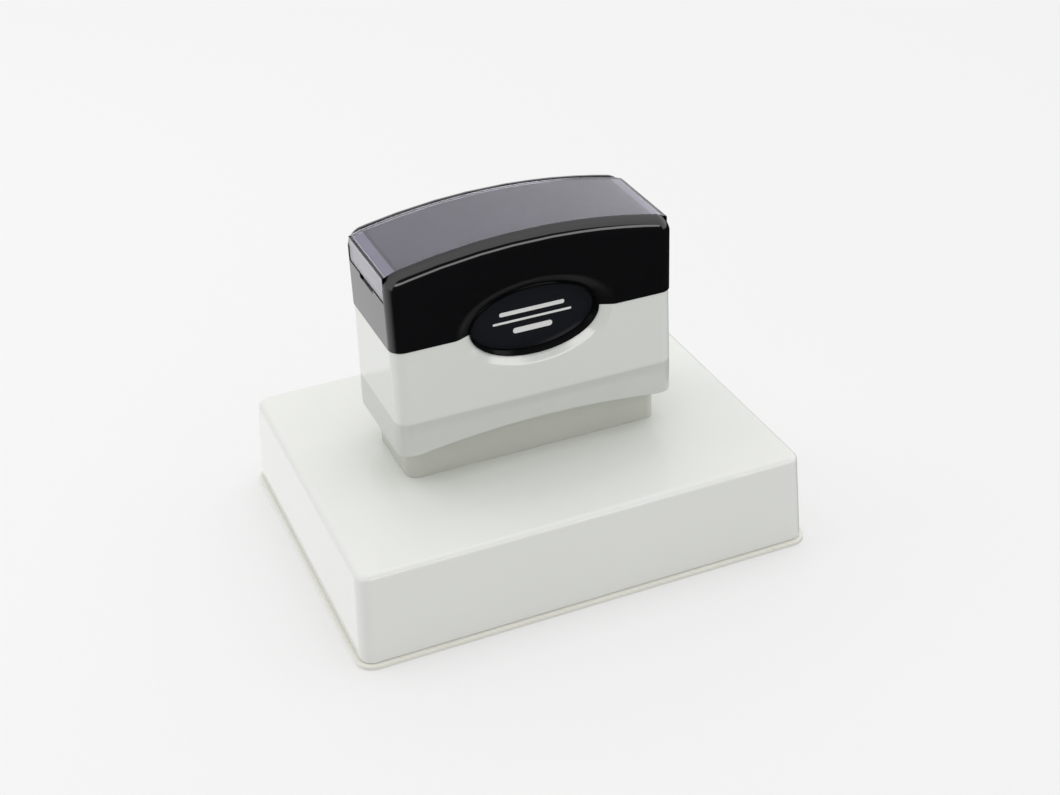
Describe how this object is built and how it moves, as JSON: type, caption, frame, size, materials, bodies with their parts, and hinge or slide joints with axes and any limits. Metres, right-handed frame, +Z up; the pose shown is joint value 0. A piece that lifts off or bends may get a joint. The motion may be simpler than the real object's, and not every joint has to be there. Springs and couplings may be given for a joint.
{
  "type": "pre-inked stamp",
  "caption": "Large pre-inked hand stamp: arched handle with a clear index window slides on a neck over a wide rectangular housing with a dust cover.",
  "frame": {"origin": "centre of the dust cover's underside, on the surface the stamp stands on", "axes": "+X along the length, -Y to the front face that carries the first badge, +Z up along the handle's travel"},
  "size_m": [0.122, 0.095, 0.0883],
  "materials": {
    "white_plastic": "gloss",
    "cover_plastic": "satin",
    "neck_plastic": "gloss",
    "skirt_plastic": "gloss",
    "black_plastic": "gloss",
    "badge_plastic": "gloss",
    "clear_plastic": "clear",
    "index_card": "matte",
    "plunger_plastic": "matte",
    "carrier_plastic": "matte",
    "frame_plastic": "matte",
    "screw_plastic": "satin",
    "foam_ink": "matte",
    "foam_plate": "matte",
    "steel": "zinc plated",
    "spring_steel": "bright drawn"
  },
  "bodies": {
    "base": {"base_housing": "white_plastic", "neck_frame": "neck_plastic", "neck_screws": "steel", "return_spring_left": "spring_steel", "return_spring_right": "spring_steel"},
    "handle": {"handle_skirt": "skirt_plastic", "handle_cap": "black_plastic", "front_badge": "badge_plastic", "back_badge": "badge_plastic", "plunger": "plunger_plastic", "plunger_screws": "steel", "die_carrier": "carrier_plastic", "carrier_screws": "steel", "ink_pad": "foam_ink", "text_plate": "foam_plate", "plate_frame": "frame_plastic"},
    "window": {"index_window": "clear_plastic", "index_card": "index_card"},
    "cover": {"dust_cover": "cover_plastic"},
    "level_front_left": {"levelling_screw_front_left": "screw_plastic"},
    "level_front_right": {"levelling_screw_front_right": "screw_plastic"},
    "level_back_left": {"levelling_screw_back_left": "screw_plastic"},
    "level_back_right": {"levelling_screw_back_right": "screw_plastic"}
  },
  "joints": [
    {"name": "handle_press", "type": "slide", "parent": "base", "child": "handle", "axis": [0, 0, -1], "range_m": [0, 0.0038], "stiffness_N_per_m": 3000, "springref_m": -0.003, "deforming": ["return_spring_left", "return_spring_right"]},
    {"name": "window_lift", "type": "slide", "parent": "handle", "child": "window", "axis": [0, 0, 1], "range_m": [0, 0.02]},
    {"name": "cover_off", "type": "slide", "parent": "base", "child": "cover", "axis": [0, 0, -1], "range_m": [0, 0.02]},
    {"name": "level_turn_front_left", "type": "hinge", "parent": "base", "child": "level_front_left", "pos_m": [-0.0524, -0.0389, 0.004], "axis": [0, 0, 1], "range_deg": [-180, 180]},
    {"name": "level_turn_front_right", "type": "hinge", "parent": "base", "child": "level_front_right", "pos_m": [0.0524, -0.0389, 0.004], "axis": [0, 0, 1], "range_deg": [-180, 180]},
    {"name": "level_turn_back_left", "type": "hinge", "parent": "base", "child": "level_back_left", "pos_m": [-0.0524, 0.0389, 0.004], "axis": [0, 0, 1], "range_deg": [-180, 180]},
    {"name": "level_turn_back_right", "type": "hinge", "parent": "base", "child": "level_back_right", "pos_m": [0.0524, 0.0389, 0.004], "axis": [0, 0, 1], "range_deg": [-180, 180]}
  ]
}
